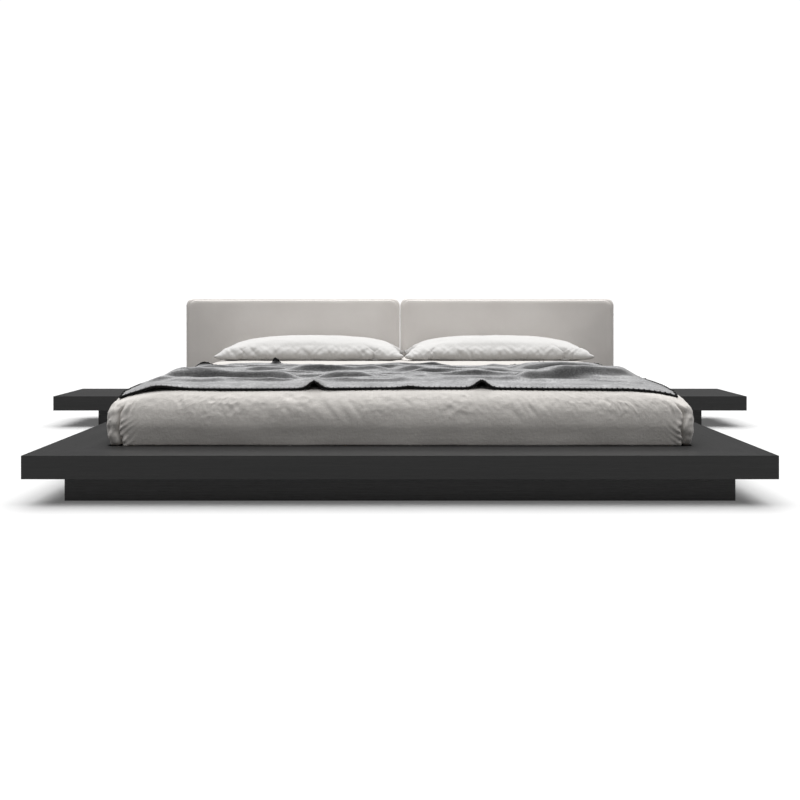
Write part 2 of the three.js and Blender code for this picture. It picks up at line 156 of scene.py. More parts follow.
class Tree:
    """A material with a Principled shader, and short calls for the nodes that feed it."""

    def __init__(self, name, roughness=0.6, metallic=0.0, specular=0.5, sheen=0.0):
        self.material = bpy.data.materials.new(name)
        self.material.use_nodes = True
        self.nodes = self.material.node_tree.nodes
        self.links = self.material.node_tree.links
        self.shader = self.nodes["Principled BSDF"]
        finish = {"Roughness": roughness, "Metallic": metallic, "Specular IOR Level": specular}
        finish |= {"Sheen Weight": sheen, "Sheen Roughness": 0.5}
        for socket, value in finish.items():
            self.shader.inputs[socket].default_value = value
        self.place = self.nodes.new("ShaderNodeTexCoord").outputs["Object"]

    def feed(self, socket, value):
        """Links an output to a socket, or sets the socket to a number or a colour."""
        if isinstance(value, (int, float)):
            socket.default_value = value
        elif isinstance(value, tuple):
            socket.default_value = (*value, 1)
        else:
            self.links.new(value, socket)

    def over_place(self, kind, **values):
        node = new_node(self.nodes, kind, **values)
        self.links.new(self.place, node.inputs["Vector"])
        return node

    def noise(self, scale, detail, roughness=0.5, stretch=(1, 1, 1), distortion=0.0):
        """Noise over the place, multiplied by a stretch for each axis."""
        mapping = self.over_place("ShaderNodeMapping", Scale=stretch)
        texture = {"Scale": scale, "Detail": detail, "Roughness": roughness, "Distortion": distortion}
        node = new_node(self.nodes, "ShaderNodeTexNoise", **texture)
        self.links.new(mapping.outputs["Vector"], node.inputs["Vector"])
        return node.outputs["Fac"]

    def cells(self, scale, feature="DISTANCE_TO_EDGE"):
        node = self.over_place("ShaderNodeTexVoronoi", Scale=scale)
        node.feature = feature
        return node.outputs["Distance"]

    def threads(self, pitch, axis):
        """Parallel threads, pitch apart, that cross the axis."""
        waves = 2 * math.pi / 20 / pitch
        node = self.over_place("ShaderNodeTexWave", Scale=waves, Distortion=0.4, Detail_Scale=2.0)
        node.bands_direction = axis
        return node.outputs["Fac"]

    def ramp(self, value, stops):
        node = self.nodes.new("ShaderNodeValToRGB")
        elements = node.color_ramp.elements
        while len(elements) < len(stops):
            elements.new(0.5)
        for element, (position, color) in zip(elements, stops):
            element.position = position
            element.color = (*color, 1)
        self.links.new(value, node.inputs["Fac"])
        return node.outputs["Color"]

    def math(self, operation, a, b):
        node = self.nodes.new("ShaderNodeMath")
        node.operation = operation
        for socket, value in zip(node.inputs, (a, b)):
            self.feed(socket, value)
        return node.outputs["Value"]

    def weighted(self, *parts):
        """The sum of some values, each times its weight."""
        total, *others = [self.math("MULTIPLY", value, weight) for value, weight in parts]
        for other in others:
            total = self.math("ADD", total, other)
        return total

    def level(self):
        """1 where the surface lies flat and 0 where it stands upright."""
        normal = self.nodes.new("ShaderNodeTexCoord").outputs["Normal"]
        parts = self.nodes.new("ShaderNodeSeparateXYZ")
        self.links.new(normal, parts.inputs["Vector"])
        return self.math("ABSOLUTE", parts.outputs["Z"], 0)

    def by_lie(self, flat, upright):
        """One value where the surface lies flat and another where it stands up."""
        level = self.math("GREATER_THAN", self.level(), 0.7)
        rise = self.math("MULTIPLY", self.math("SUBTRACT", 1, level), upright)
        return self.math("ADD", self.math("MULTIPLY", level, flat), rise)

    def multiply(self, share, a, b):
        """Colour a, multiplied by colour b as far as the share says."""
        node = self.nodes.new("ShaderNodeMix")
        node.data_type = "RGBA"
        node.blend_type = "MULTIPLY"
        color_inputs = [s for s in node.inputs if s.type == "RGBA"]
        for socket, value in zip([node.inputs[0], *color_inputs], (share, a, b)):
            self.feed(socket, value)
        return [s for s in node.outputs if s.type == "RGBA"][0]

    def color(self, value):
        self.links.new(value, self.shader.inputs["Base Color"])

    def roughness(self, value, low, high):
        node = new_node(self.nodes, "ShaderNodeMapRange", To_Min=low, To_Max=high)
        self.links.new(value, node.inputs["Value"])
        self.links.new(node.outputs["Result"], self.shader.inputs["Roughness"])

    def bump(self, height, distance, strength, under=None):
        node = new_node(self.nodes, "ShaderNodeBump", Distance=distance, Strength=strength)
        self.links.new(height, node.inputs["Height"])
        if under is not None:
            self.links.new(under, node.inputs["Normal"])
        self.links.new(node.outputs["Normal"], self.shader.inputs["Normal"])
        return node.outputs["Normal"]


def grain_stretch(axis, along, across):
    stretch = [across] * 3
    stretch[axis] = along
    return tuple(stretch)


def stained_oak(name, axis, painted_light_gain=1.0):
    """Charcoal stained oak veneer, with its grain along X (0), Y (1) or Z (2). A gain above 1 paints light
    into the stain, for boards that stand in shade.
    """
    tree = Tree(name, specular=0.25)
    figure = tree.noise(1, 5, 0.55, grain_stretch(axis, 0.7, 22), distortion=0.6)
    streaks = tree.noise(1, 6, 0.7, grain_stretch(axis, 2.5, 160))
    pores = tree.noise(1, 3, 0.6, grain_stretch(axis, 14, 900))
    tone = tree.weighted((figure, 0.45), (streaks, 0.55))
    stain = [(0.3, (0.0098, 0.0098, 0.01)), (0.5, grey(0.0158)), (0.72, (0.025, 0.0248, 0.0245))]
    # painted light: the gain makes the whole stain lighter, standing in for light that a shaded board
    # doesn't get
    wood = tree.ramp(tone, [(place, tuple(painted_light_gain * part for part in color)) for place, color in stain])
    dark_pores = tree.ramp(pores, [(0.36, grey(0.45)), (0.5, grey(1))])
    tree.color(tree.multiply(0.8, wood, dark_pores))
    tree.roughness(streaks, 0.36, 0.5)
    coarse = tree.bump(streaks, 0.35 * MM, 0.5)
    tree.bump(pores, 0.25 * MM, 0.6, coarse)
    return tree.material


def softwood(name, axis):
    """Planed pine with its grain along an axis."""
    tree = Tree(name, specular=0.3)
    rings = tree.noise(1, 4, 0.5, grain_stretch(axis, 0.9, 26), distortion=1.2)
    fibres = tree.noise(1, 5, 0.7, grain_stretch(axis, 6, 420))
    pine = [(0.35, (0.62, 0.42, 0.22)), (0.5, (0.52, 0.33, 0.155)), (0.62, (0.66, 0.47, 0.26))]
    dark_fibres = tree.ramp(fibres, [(0.3, (0.7, 0.66, 0.6)), (0.6, grey(1))])
    tree.color(tree.multiply(0.35, tree.ramp(rings, pine), dark_fibres))
    tree.roughness(fibres, 0.55, 0.75)
    tree.bump(fibres, 0.2 * MM, 0.5)
    return tree.material


def birch_plywood():
    tree = Tree("birch_plywood", specular=0.3)
    figure = tree.noise(1, 4, 0.55, (1.2, 12, 18), distortion=1.5)
    fibres = tree.noise(1, 4, 0.7, (8, 200, 300))
    wood = tree.ramp(figure, [(0.3, (0.5, 0.34, 0.18)), (0.7, (0.62, 0.45, 0.26))])
    dark_fibres = tree.ramp(fibres, [(0.3, (0.75, 0.7, 0.62)), (0.6, grey(1))])
    tree.color(tree.multiply(0.3, wood, dark_fibres))
    tree.roughness(fibres, 0.5, 0.7)
    tree.bump(fibres, 0.15 * MM, 0.5)
    return tree.material


def warm_leather():
    """Smooth warm grey leather with a fine pebble, slightly cloudy."""
    tree = Tree("warm_leather", specular=0.4)
    clouds = tree.noise(5, 3, 0.5)
    pebble = tree.cells(620)
    creases = tree.noise(90, 4, 0.6)
    hide = tree.ramp(clouds, [(0.3, (0.725, 0.69, 0.66)), (0.7, (0.77, 0.738, 0.708))])
    between = tree.ramp(pebble, [(0.0, (0.72, 0.7, 0.68)), (0.25, grey(1))])
    tree.color(tree.multiply(0.25, hide, between))
    tree.roughness(creases, 0.4, 0.55)
    fine = tree.bump(pebble, 0.12 * MM, 0.5)
    tree.bump(creases, 0.25 * MM, 0.35, fine)
    return tree.material


def woven(name, stops, pitch, slub, crumple=0.0, crumple_scale=70):
    """A plain weave: threads both ways, thick and thin yarns, and fine crumples."""
    tree = Tree(name, roughness=0.9, specular=0.2, sheen=0.15)
    flat = tree.math("MULTIPLY", tree.threads(pitch, "X"), tree.threads(pitch, "Y"))
    upright = tree.math("MULTIPLY", tree.threads(pitch, "Z"), tree.threads(pitch, "DIAGONAL"))
    weave = tree.by_lie(flat, upright)
    along, across = 14, 520  # waves to the metre
    yarns = []
    for one_way, other_way in (
        ((along, across, 0), (across, along, 0)),
        ((along, along, across), (across, across, along)),
    ):
        yarns.append(tree.math("ADD", tree.noise(1, 3, 0.6, one_way), tree.noise(1, 3, 0.6, other_way)))
    yarns = tree.math("MULTIPLY", tree.by_lie(*yarns), 0.5)
    cloth = tree.ramp(yarns, stops)
    shade = tree.ramp(weave, [(0.0, grey(1 - slub)), (0.8, grey(1))])
    tree.color(tree.multiply(0.5, cloth, shade))
    normal = tree.bump(weave, 0.12 * MM, 0.35)
    normal = tree.bump(yarns, 0.3 * MM, 0.4, normal)
    if crumple:
        tree.bump(tree.noise(crumple_scale, 3, 0.55), crumple, 0.7, normal)
    return tree.material


def heather_wool(name, dark, light, fleck, sheen):
    """Brushed wool whose fibres mix several greys, with painted shade where it stands steep."""
    tree = Tree(name, roughness=0.95, specular=0.1, sheen=sheen)
    fibres = tree.noise(700, 4, 0.8, (1, 0.45, 1))
    tufts = tree.noise(190, 3, 0.7)
    cloud = tree.noise(14, 3, 0.5)
    mixed = tree.weighted((fibres, 0.35), (tufts, 0.5), (cloud, 0.15))
    fibre_mix = tree.ramp(mixed, [(0.4, dark), (0.5, light), (0.6, fleck)])
    # painted shade: the wool is darker where it stands steep on the sides of folds, standing in for the
    # shade that falls there
    shades = [(0.5, 0.15), (0.82, 0.34), (0.94, 0.78), (0.99, 1.0)]
    painted_fold_shade = tree.ramp(tree.level(), [(lie, grey(shade)) for lie, shade in shades])
    tree.color(tree.multiply(1.0, fibre_mix, painted_fold_shade))
    nap = tree.bump(fibres, 0.5 * MM, 0.5)
    tree.bump(tufts, 1.0 * MM, 0.4, nap)
    return tree.material


def powder_coat():
    tree = Tree("black_powder_coat", specular=0.4)
    grit = tree.noise(900, 3, 0.6)
    tree.color(tree.ramp(grit, [(0.3, (0.018, 0.018, 0.019)), (0.7, (0.032, 0.032, 0.034))]))
    tree.roughness(grit, 0.42, 0.58)
    tree.bump(grit, 0.1 * MM, 0.4)
    return tree.material


def zinc_plate():
    tree = Tree("zinc_plate", metallic=1.0)
    spangle = tree.cells(160, "F1")
    scratch = tree.noise(1, 4, 0.7, (60, 900, 900))
    tree.color(tree.ramp(spangle, [(0.0, (0.5, 0.51, 0.53)), (0.6, (0.66, 0.67, 0.68))]))
    tree.roughness(scratch, 0.24, 0.42)
    tree.bump(scratch, 0.05 * MM, 0.4)
    return tree.material


def make_materials():
    """A material for each of the record's slots, and for what differs within one."""
    linen = [(0.3, (0.497, 0.474, 0.449)), (0.5, (0.572, 0.549, 0.522)), (0.7, (0.632, 0.609, 0.582))]
    cotton = [(0.3, (0.49, 0.484, 0.474)), (0.7, (0.55, 0.543, 0.534))]
    ticking = [(0.3, (0.62, 0.6, 0.56)), (0.7, (0.7, 0.68, 0.64))]
    dull = [(0.3, (0.30, 0.29, 0.28)), (0.7, (0.36, 0.35, 0.34))]
    heather = ((0.052, 0.052, 0.054), (0.25, 0.25, 0.255), (0.53, 0.53, 0.535))
    charcoal = (grey(0.012), grey(0.026), grey(0.05))
    return {
        "dark_oak": stained_oak("stained_oak_x", 0),
        # the plinths' copy is painted lighter, as painted light for the shade under the bed's slab
        "dark_oak_plinth_painted_light": stained_oak("stained_oak_plinth_painted_light", 0, 4.8),
        "dark_oak_y": stained_oak("stained_oak_y", 1),
        "pine": softwood("pine_x", 0),
        "pine_y": softwood("pine_y", 1),
        "plywood": birch_plywood(),
        "headboard_leather": warm_leather(),
        "bed_linen": woven("linen", linen, 0.9 * MM, 0.3, 1.4 * MM, 95),
        "pillow_cotton": woven("cotton", cotton, 0.55 * MM, 0.15, 2.4 * MM, 42),
        "mattress_ticking": woven("ticking", ticking, 0.8 * MM, 0.2),
        "throw_wool": heather_wool("heather_wool", *heather, 0.8),
        # charcoal wool for the throw's underside, and for the hem, where its dark is partly painted shade
        "throw_underside": heather_wool("charcoal_wool", *charcoal, 0.1),
        "thread": woven("thread", dull, 0.4 * MM, 0.1),
        "tape": woven("tape", dull, 1.2 * MM, 0.1),
        "black_steel": powder_coat(),
        "zinc": zinc_plate(),
    }


# ---- mesh helpers


def make_piece(name, points, faces, body, slot, look=None):
    """A smooth mesh object that rides on a body, in its slot's material unless another is named."""
    piece = mesh_object(name, points, faces)
    piece.data.materials.append(materials[look or slot])
    piece.data.shade_smooth()
    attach(piece, body)
    return piece


def grid_faces(rows, columns, closed=False):
    """The faces of a grid of points, row by row. closed joins the last column to the first."""
    faces = []
    for row in range(rows - 1):
        for column in range(columns if closed else columns - 1):
            a = row * columns + column
            b = row * columns + (column + 1) % columns
            faces.append((a, b, b + columns, a + columns))
    return faces


def closed_faces(grid, first=False):
    """The faces of a grid whose columns close, with a face over its last row, and its first if asked."""
    rows, columns = grid.shape[:2]
    faces = grid_faces(rows, columns, closed=True)
    if first:
        faces.append(tuple(range(columns))[::-1])
    faces.append(tuple((rows - 1) * columns + i for i in range(columns)))
    return faces


def lying(ring, middle_y, height):
    """A flat ring of points, laid level at a height."""
    return np.column_stack((ring[:, 0], ring[:, 1] + middle_y, np.full(len(ring), height)))


def standing(ring, centre, y):
    """A flat ring of points, stood upright across the bed at a place along Y."""
    return np.column_stack((centre.x + ring[:, 0], np.full(len(ring), y), centre.z + ring[:, 1]))


ROUNDEST = 0.98  # the largest corner radius, as a share of half a side


def rounded_ring(half_x, half_y, radius, steps):
    """A rectangle with round corners, anticlockwise from the foot's left end.

    steps holds how many parts there are in the side at the foot, the side at the head, each other side, each
    corner at the foot and each at the head. If the foot's side has the most, they are finer near its ends.
    """
    radius = min(radius, ROUNDEST * half_x, ROUNDEST * half_y)
    corners = np.array(((-1, -1), (1, -1), (1, 1), (-1, 1))) * (half_x - radius, half_y - radius)
    outward = np.array(((0, -1), (1, 0), (0, 1), (-1, 0))) * radius
    foot, head, side, foot_corner, head_corner = steps
    sides = ((foot, foot_corner), (side, head_corner), (head, head_corner), (side, foot_corner))
    pieces = []
    for k, (parts, corner_parts) in enumerate(sides):
        start, end = corners[k], corners[(k + 1) % 4]
        t = np.arange(parts) / parts
        if k == 0 and foot > head:
            t = t - 0.55 * np.sin(2 * np.pi * t) / (2 * np.pi)
        pieces.append(start + outward[k] + np.outer(t, end - start))
        angles = np.radians(90 * (k - 1) + 90 * np.arange(corner_parts) / corner_parts)
        pieces.append(end + radius * np.column_stack((np.cos(angles), np.sin(angles))))
    return np.vstack(pieces)


def grid_normals(grid):
    """The outward normals of a grid of points, rows by columns by 3, whose columns close on themselves."""
    along = np.roll(grid, -1, 1) - np.roll(grid, 1, 1)
    up = np.gradient(grid, axis=0)
    normals = np.cross(along, up)
    return normals / np.maximum(np.linalg.norm(normals, axis=2, keepdims=True), 1e-12)


def ease(value, low, high):
    """0 below low, 1 above high, and smooth between them."""
    t = np.clip((np.asarray(value, float) - low) / (high - low), 0, 1)
    return t * t * (3 - 2 * t)


def bell(value, centre, width):
    return np.exp(-(((value - centre) / width) ** 2))


def noise_at(points, scale, seed, octaves):
    """Smooth noise from about -1 to 1 at each point, with scale as waves to the metre on each axis."""
    flat = np.asarray(points, float).reshape(-1, 3) * scale + seed
    values = [noise.fractal(Vector(p), 1.0, 2.0, octaves) for p in flat]
    return np.array(values).reshape(np.asarray(points).shape[:-1])


def ridges_at(points, scale, seed, octaves):
    """Noise with sharp crests, as crumpled cloth has, from about 0 to 1."""
    return 1 - 2 * np.abs(noise_at(points, scale, seed, octaves))


def tangents_of(path, closed):
    tangents = np.roll(path, -1, 0) - np.roll(path, 1, 0) if closed else np.gradient(path, axis=0)
    return tangents / np.linalg.norm(tangents, axis=1, keepdims=True)


def tube(path, radius, sides, closed=False):
    """The points and faces of a round tube along a path."""
    path = np.asarray(path, float)
    tangents = tangents_of(path, closed)
    helper = np.where(np.abs(tangents[:, 2:3]) < 0.9, [[0.0, 0.0, 1.0]], [[1.0, 0.0, 0.0]])
    across = np.cross(tangents, helper)
    across /= np.linalg.norm(across, axis=1, keepdims=True)
    up = np.cross(across, tangents)
    angles = 2 * np.pi * np.arange(sides) / sides
    rings = (
        path[:, None]
        + radius * np.cos(angles)[None, :, None] * across[:, None]
        + radius * np.sin(angles)[None, :, None] * up[:, None]
    )
    count = len(path)
    faces = []
    for i in range(count if closed else count - 1):
        for j in range(sides):
            a, b = i * sides + j, i * sides + (j + 1) % sides
            c = ((i + 1) % count) * sides
            faces.append((a, b, c + (j + 1) % sides, c + j))
    if not closed:
        faces.append(tuple(range(sides))[::-1])
        faces.append(tuple((count - 1) * sides + j for j in range(sides)))
    return rings.reshape(-1, 3), faces


def joined(parts):
    """Several (points, faces) pairs as one."""
    points, faces, start = [], [], 0
    for part_points, part_faces in parts:
        points.append(np.asarray(part_points, float).reshape(-1, 3))
        faces += [tuple(start + i for i in face) for face in part_faces]
        start += len(points[-1])
    return np.vstack(points), faces


def resampled(path, step, closed=False):
    """A path with its points spread evenly, about a step apart."""
    path = np.asarray(path, float)
    if closed:
        path = np.vstack((path, path[:1]))
    lengths = np.concatenate(([0], np.cumsum(np.linalg.norm(np.diff(path, axis=0), axis=1))))
    count = max(2, round(lengths[-1] / step))
    at = np.linspace(0, lengths[-1], count + 1)
    out = np.column_stack([np.interp(at, lengths, path[:, k]) for k in range(3)])
    return out[:-1] if closed else out


def turned(profile, centre, segments=20):
    """A solid of revolution about Y, from (radius, place along Y) points that start and end on the axis."""
    inner = profile[1:-1]
    angles = 2 * np.pi * np.arange(segments) / segments
    rings = [[(r * np.cos(a), h, -r * np.sin(a)) for a in angles] for r, h in inner]
    points = [p for ring in rings for p in ring] + [(0, profile[0][1], 0), (0, profile[-1][1], 0)]
    faces = grid_faces(len(inner), segments, closed=True)
    first, last = len(points) - 2, len(points) - 1
    top = (len(inner) - 1) * segments
    for j in range(segments):
        k = (j + 1) % segments
        faces.append((first, k, j))
        faces.append((last, top + j, top + k))
    return np.array(points) + np.array(centre), faces


# ---- cloth


CLOTH_QUALITY = 6
CLOTH_FRICTION = 60


def settle(piece, frames, bend, gravity, colliders=(), pinned=(), tension=15, pressure=0.0, gap=0.003):
    """Runs the cloth solver on a piece and keeps its last frame as the mesh. Pinned points stay put."""
    scene = bpy.context.scene
    for collider in colliders:
        collider.modifiers.new("collision", "COLLISION")
        collider.collision.thickness_outer = gap
        collider.collision.cloth_friction = CLOTH_FRICTION
    cloth = piece.modifiers.new("cloth", "CLOTH")
    settings = cloth.settings
    settings.quality = CLOTH_QUALITY
    settings.tension_stiffness = settings.compression_stiffness = tension
    settings.shear_stiffness = tension / 3
    settings.bending_stiffness = bend
    settings.effector_weights.gravity = gravity
    settings.use_pressure = pressure > 0
    settings.uniform_pressure_force = pressure
    if len(pinned):
        group = piece.vertex_groups.new(name="pinned")
        group.add([int(i) for i in pinned], 1.0, "REPLACE")
        settings.vertex_group_mass = "pinned"
    cloth.collision_settings.use_collision = len(colliders) > 0
    cloth.collision_settings.distance_min = gap
    cloth.collision_settings.friction = CLOTH_FRICTION
    cloth.point_cache.frame_start = 1
    cloth.point_cache.frame_end = frames + 1
    for frame_number in range(1, frames + 1):
        scene.frame_set(frame_number)
    evaluated = piece.evaluated_get(bpy.context.evaluated_depsgraph_get())
    settled = np.zeros(len(piece.data.vertices) * 3, np.float32)
    evaluated.data.vertices.foreach_get("co", settled)
    piece.modifiers.clear()
    piece.vertex_groups.clear()
    piece.data.vertices.foreach_set("co", settled)
    piece.data.update()
    for collider in colliders:
        collider.modifiers.clear()
    scene.frame_set(1)


def subdivided(piece):
    smooth = piece.modifiers.new("smooth", "SUBSURF")
    smooth.levels = smooth.render_levels = 1
    return piece


def apply_modifiers(piece):
    evaluated = piece.evaluated_get(bpy.context.evaluated_depsgraph_get())
    mesh = bpy.data.meshes.new_from_object(evaluated)
    piece.modifiers.clear()
    piece.data = mesh


# ---- bed cover

COVER_LOW, COVER_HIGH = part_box("bed_cover")
COVER_PROUD_X = 0.013  # how far the cover's widest line stands out from its CAD solid
COVER_PROUD_Y = 0.008
COVER_HALF_X = COVER_HIGH.x + COVER_PROUD_X  # to the widest line
COVER_HALF_Y = (COVER_HIGH.y - COVER_LOW.y) / 2 + COVER_PROUD_Y
BED_MIDDLE_Y = (COVER_HIGH.y + COVER_LOW.y) / 2
COVER_TOP = COVER_HIGH.z
COVER_HEM = COVER_LOW.z - 0.5 * MM
FOOT_CORNER_RADIUS = 0.06  # seen from above, at the widest line
TOP_CORNER_RADIUS = 0.23
WIDEST = 3  # the place in the profile of the widest line
COVER_PARTS = (470, 110, 170, 44, 14)  # the steps of rounded_ring
COLLIDER_PARTS = (60, 60, 60, 8, 8)
HEM_INSET = 0.004  # how far the turned-in hem lies behind the cover's face
COVER_PROFILE = np.array([  # in from the widest line, and height, from the hem to the flat top, in mm
    (9, 161.5), (6, 176), (3, 198), (0, 225), (1, 245),
    (4, 262), (9, 280), (16, 296), (25, 310), (36, 322),
    (50, 333), (68, 342), (90, 348), (115, 350.5),
]) / 1000


def smooth_path(corners, step):
    """A smooth curve through some points, with its own points about a step apart."""
    corners = np.array(corners, float)
    padded = np.vstack((2 * corners[0] - corners[1], corners, 2 * corners[-1] - corners[-2]))
    t = np.linspace(0, 1, 12, endpoint=False)[:, None]
    spans = []
    for p, a, b, q in zip(padded, padded[1:], padded[2:], padded[3:]):
        spans.append(a + 0.5 * t * (b - p + t * (2 * p - 5 * a + 4 * b - q + t * (3 * (a - b) + q - p))))
    return resampled(np.vstack((*spans, corners[-1:])), step)


def cover_levels(step, top_steps):
    """(inset, height, corner radius) from the hem up over the shoulder to the middle of the top."""
    side = smooth_path([(inset, 0, height) for inset, height in COVER_PROFILE], step)
    levels = []
    for inset, _, height in side:
        levels.append((inset, height, corner_radius(inset)))
    first, last = side[-1][0], COVER_HALF_X - 0.03
    for t in np.linspace(0, 1, top_steps + 1)[1:]:
        levels.append((first + (last - first) * t, side[-1][2], TOP_CORNER_RADIUS))
    return levels


def cover_grid(levels, steps):
    rows = []
    for inset, height, radius in levels:
        ring = rounded_ring(COVER_HALF_X - inset, COVER_HALF_Y - inset, radius, steps)
        rows.append(lying(ring, BED_MIDDLE_Y, height))
    return np.array(rows)


def corner_radius(inset):
    """How round the cover's corners are, seen from above, at some way in from its widest line."""
    return FOOT_CORNER_RADIUS + (TOP_CORNER_RADIUS - FOOT_CORNER_RADIUS) * ease(inset, 0.002, 0.09)


def cover_height(x, y):
    """The height of the cover's smooth shape above each place on the bed."""
    insets, heights = COVER_PROFILE[WIDEST:].T
    low, high = np.zeros_like(x), np.full_like(x, insets[-1])
    for _ in range(14):
        inset = (low + high) / 2
        radius = corner_radius(inset)
        across = np.abs(x) - (COVER_HALF_X - inset - radius)
        along = np.abs(y - BED_MIDDLE_Y) - (COVER_HALF_Y - inset - radius)
        corner = np.hypot(np.maximum(across, 0), np.maximum(along, 0))
        beyond = corner + np.minimum(np.maximum(across, along), 0)
        outside = beyond > radius
        high = np.where(outside, inset, high)
        low = np.where(outside, low, inset)
    return np.interp(high, insets, heights)


def cover_folds(grid):
    """How far each point of the cover stands out from its smooth shape."""
    x, y, z = grid[..., 0], grid[..., 1], grid[..., 2]
    from_foot = y - (BED_MIDDLE_Y - COVER_HALF_Y)
    foot = 1 - ease(from_foot, 0.05, 0.16)
    on_side = ease(COVER_TOP - z, 0.004, 0.05)
    out = 0.0035 * noise_at(grid, (3.2, 3.2, 5), 4.0, 2) * on_side
    out += 0.0014 * noise_at(grid, (9, 9, 7), 9.0, 3)
    out += 0.010 * bell(x, 0.0, 0.028) * bell(y, 0.585, 0.05)

    # crumples in the upper half of the foot's face, and a few longer ones drawn down from the top edge
    band = bell(z, 0.296, 0.04) * foot
    patch = 0.35 + 0.65 * ease(noise_at(grid, (4, 1, 3), 21.0, 2), -0.25, 0.35)
    crumple = ridges_at(grid + 0.25 * z[..., None] * (1, 0, 0), (34, 34, 24), 3.0, 3)
    out += 0.0031 * band * patch * crumple
    drawn = ridges_at(grid + 0.7 * (z[..., None] - 0.3) * (1, 0, 0), (26, 10, 5), 13.0, 2)
    clusters = bell(x, -0.21, 0.17) + bell(x, 0.46, 0.11) + 0.4 * bell(x, -0.62, 0.14)
    out += 0.0030 * bell(z, 0.285, 0.035) * foot * clusters * drawn
    out += 0.0020 * ridges_at(grid, (12, 12, 4), 30.0, 2) * on_side * (1 - foot)

    # the folded corners at the foot: a deep crease with a full lobe on either side, and gathers beside it
    for side in (-1, 1):
        wander = 0.0042 * np.sin(43 * z + 2 * side) + 0.0022 * np.sin(103 * z + side)
        crease = 0.935 + 0.005 * side + wander - (0.021 + 0.013 * side) * ease(z, 0.262, 0.318)
        across = side * x - crease
        height = ease(COVER_TOP - z, 0.042, 0.075) * foot
        out -= 0.016 * bell(across, 0, 0.0045) * height
        out += 0.006 * bell(across, 0.024, 0.017) * height * (1 + 0.2 * np.sin(58 * z + 3 * side))
        out -= 0.002 * ease(across, 0.0, 0.012) * bell(z, COVER_HEM, 0.012) * foot
        out += 0.0045 * bell(across, -0.014, 0.009) * height
        inward = np.maximum(-across, 0)
        fan = (z - 0.16 - 0.55 * inward - 3.5 * inward**2) / 0.0215
        ripple = np.sin(2 * np.pi * (fan + 0.3 * np.sin(31 * x + 5 * side)))
        reach = ease(inward, 0.0, 0.010) * np.exp(-inward / 0.019)
        out += 0.0036 * ripple * reach * ease(0.270 - z, 0.0, 0.03) * foot
        upper = np.sin(2 * np.pi * (side * x * 45 + 9 * z))
        out += 0.0028 * upper * bell(across, -0.028, 0.016) * bell(z, 0.290, 0.022) * foot
        on_lobe = ease(across, 0.003, 0.012)
        out += 0.0009 * on_lobe * foot * np.sin(2 * np.pi * (z / 0.037 + 9 * y + 0.3 * side))
        lobe_crumple = ridges_at(grid, (30, 30, 26), 50.0, 2) * ease(COVER_TOP - z, 0.03, 0.06)
        out += 0.0030 * on_lobe * foot * lobe_crumple
    return out


def add_bed_cover():
    grid = cover_grid(cover_levels(0.004, 34), COVER_PARTS)
    grid = grid + grid_normals(grid) * cover_folds(grid)[..., None]
    inner = grid[0] - grid_normals(grid)[0] * (1, 1, 0) * HEM_INSET
    turned_in = [inner + (0, 0, rise) for rise in (0.03, 0.012, 0.001)]
    grid = np.vstack((np.array(turned_in), grid))
    points = grid.reshape(-1, 3)
    cover = make_piece("cover_linen", points, closed_faces(grid), "bedding", "bed_linen")
    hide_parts("bed_cover")


def cover_collider():
    """A coarse, smooth copy of the cover for cloth to lie on."""
    grid = cover_grid(cover_levels(0.02, 8), COLLIDER_PARTS)
    return mesh_object("cover_collider", grid.reshape(-1, 3), closed_faces(grid))


# ---- throw

THROW_FLAT = (1.885, 1.07)
THROW_OFFSET = -0.006  # from the middle of the bed
THROW_FRONT = -0.931
THROW_THICKNESS = 0.005
THROW_GAP = 0.003
THROW_COLUMNS, THROW_ROWS = 164, 107
HEM_RADIUS = 0.0042
LOOP_RADIUS = 0.0056
THREAD_RADIUS = 0.0014
NARROWING = 0.036  # the share of its width that the throw loses behind its front hem
THROW_FOLDS = np.array([  # X from, X to, Y at its start, middle and end, height, width, in mm
    (-920, -310, -760, -690, -740, 34, 56),
    (-360, -30, -745, -690, -740, 33, 54),
    (340, 920, -775, -670, -640, 34, 62),
    (250, 380, -740, -730, -720, 14, 30),
    (-40, 200, -640, -620, -650, 18, 40),
    (-990, -580, -520, -490, -440, 24, 48),
    (-680, -380, -300, -250, -260, 22, 45),
    (-480, 0, -420, -370, -430, 21, 50),
    (-60, 300, -440, -400, -430, 22, 44),
    (120, 400, -540, -520, -510, 17, 36),
    (400, 900, -330, -280, -340, 26, 58),
    (-940, -520, -60, -10, -30, 16, 52),
    (-560, -280, 30, 60, 40, 17, 64),
    (-240, 240, -130, -100, -140, 22, 48),
    (420, 740, -120, -60, -80, 16, 50),
    (760, 990, -140, -100, -120, 10, 44),
    (-950, 300, -210, -160, -230, 11, 32),
    (20, 950, -20, 10, -60, 11, 34),
    (-930, 100, -630, -580, -600, 12, 30),
    (-50, 930, -500, -450, -420, 12, 30),
]) / 1000
HEM_ARCHES = np.array([  # X, height, half width, in mm
    (-290, 26, 24),
    (276, 27, 25),
    (32, 5, 30),
]) / 1000
HEM_CURLS = np.array([  # X, half width, lift, in mm
    (-895, 32, 18),
    (-562, 11, 36),
    (645, 55, 12),
    (895, 30, 10),
]) / 1000


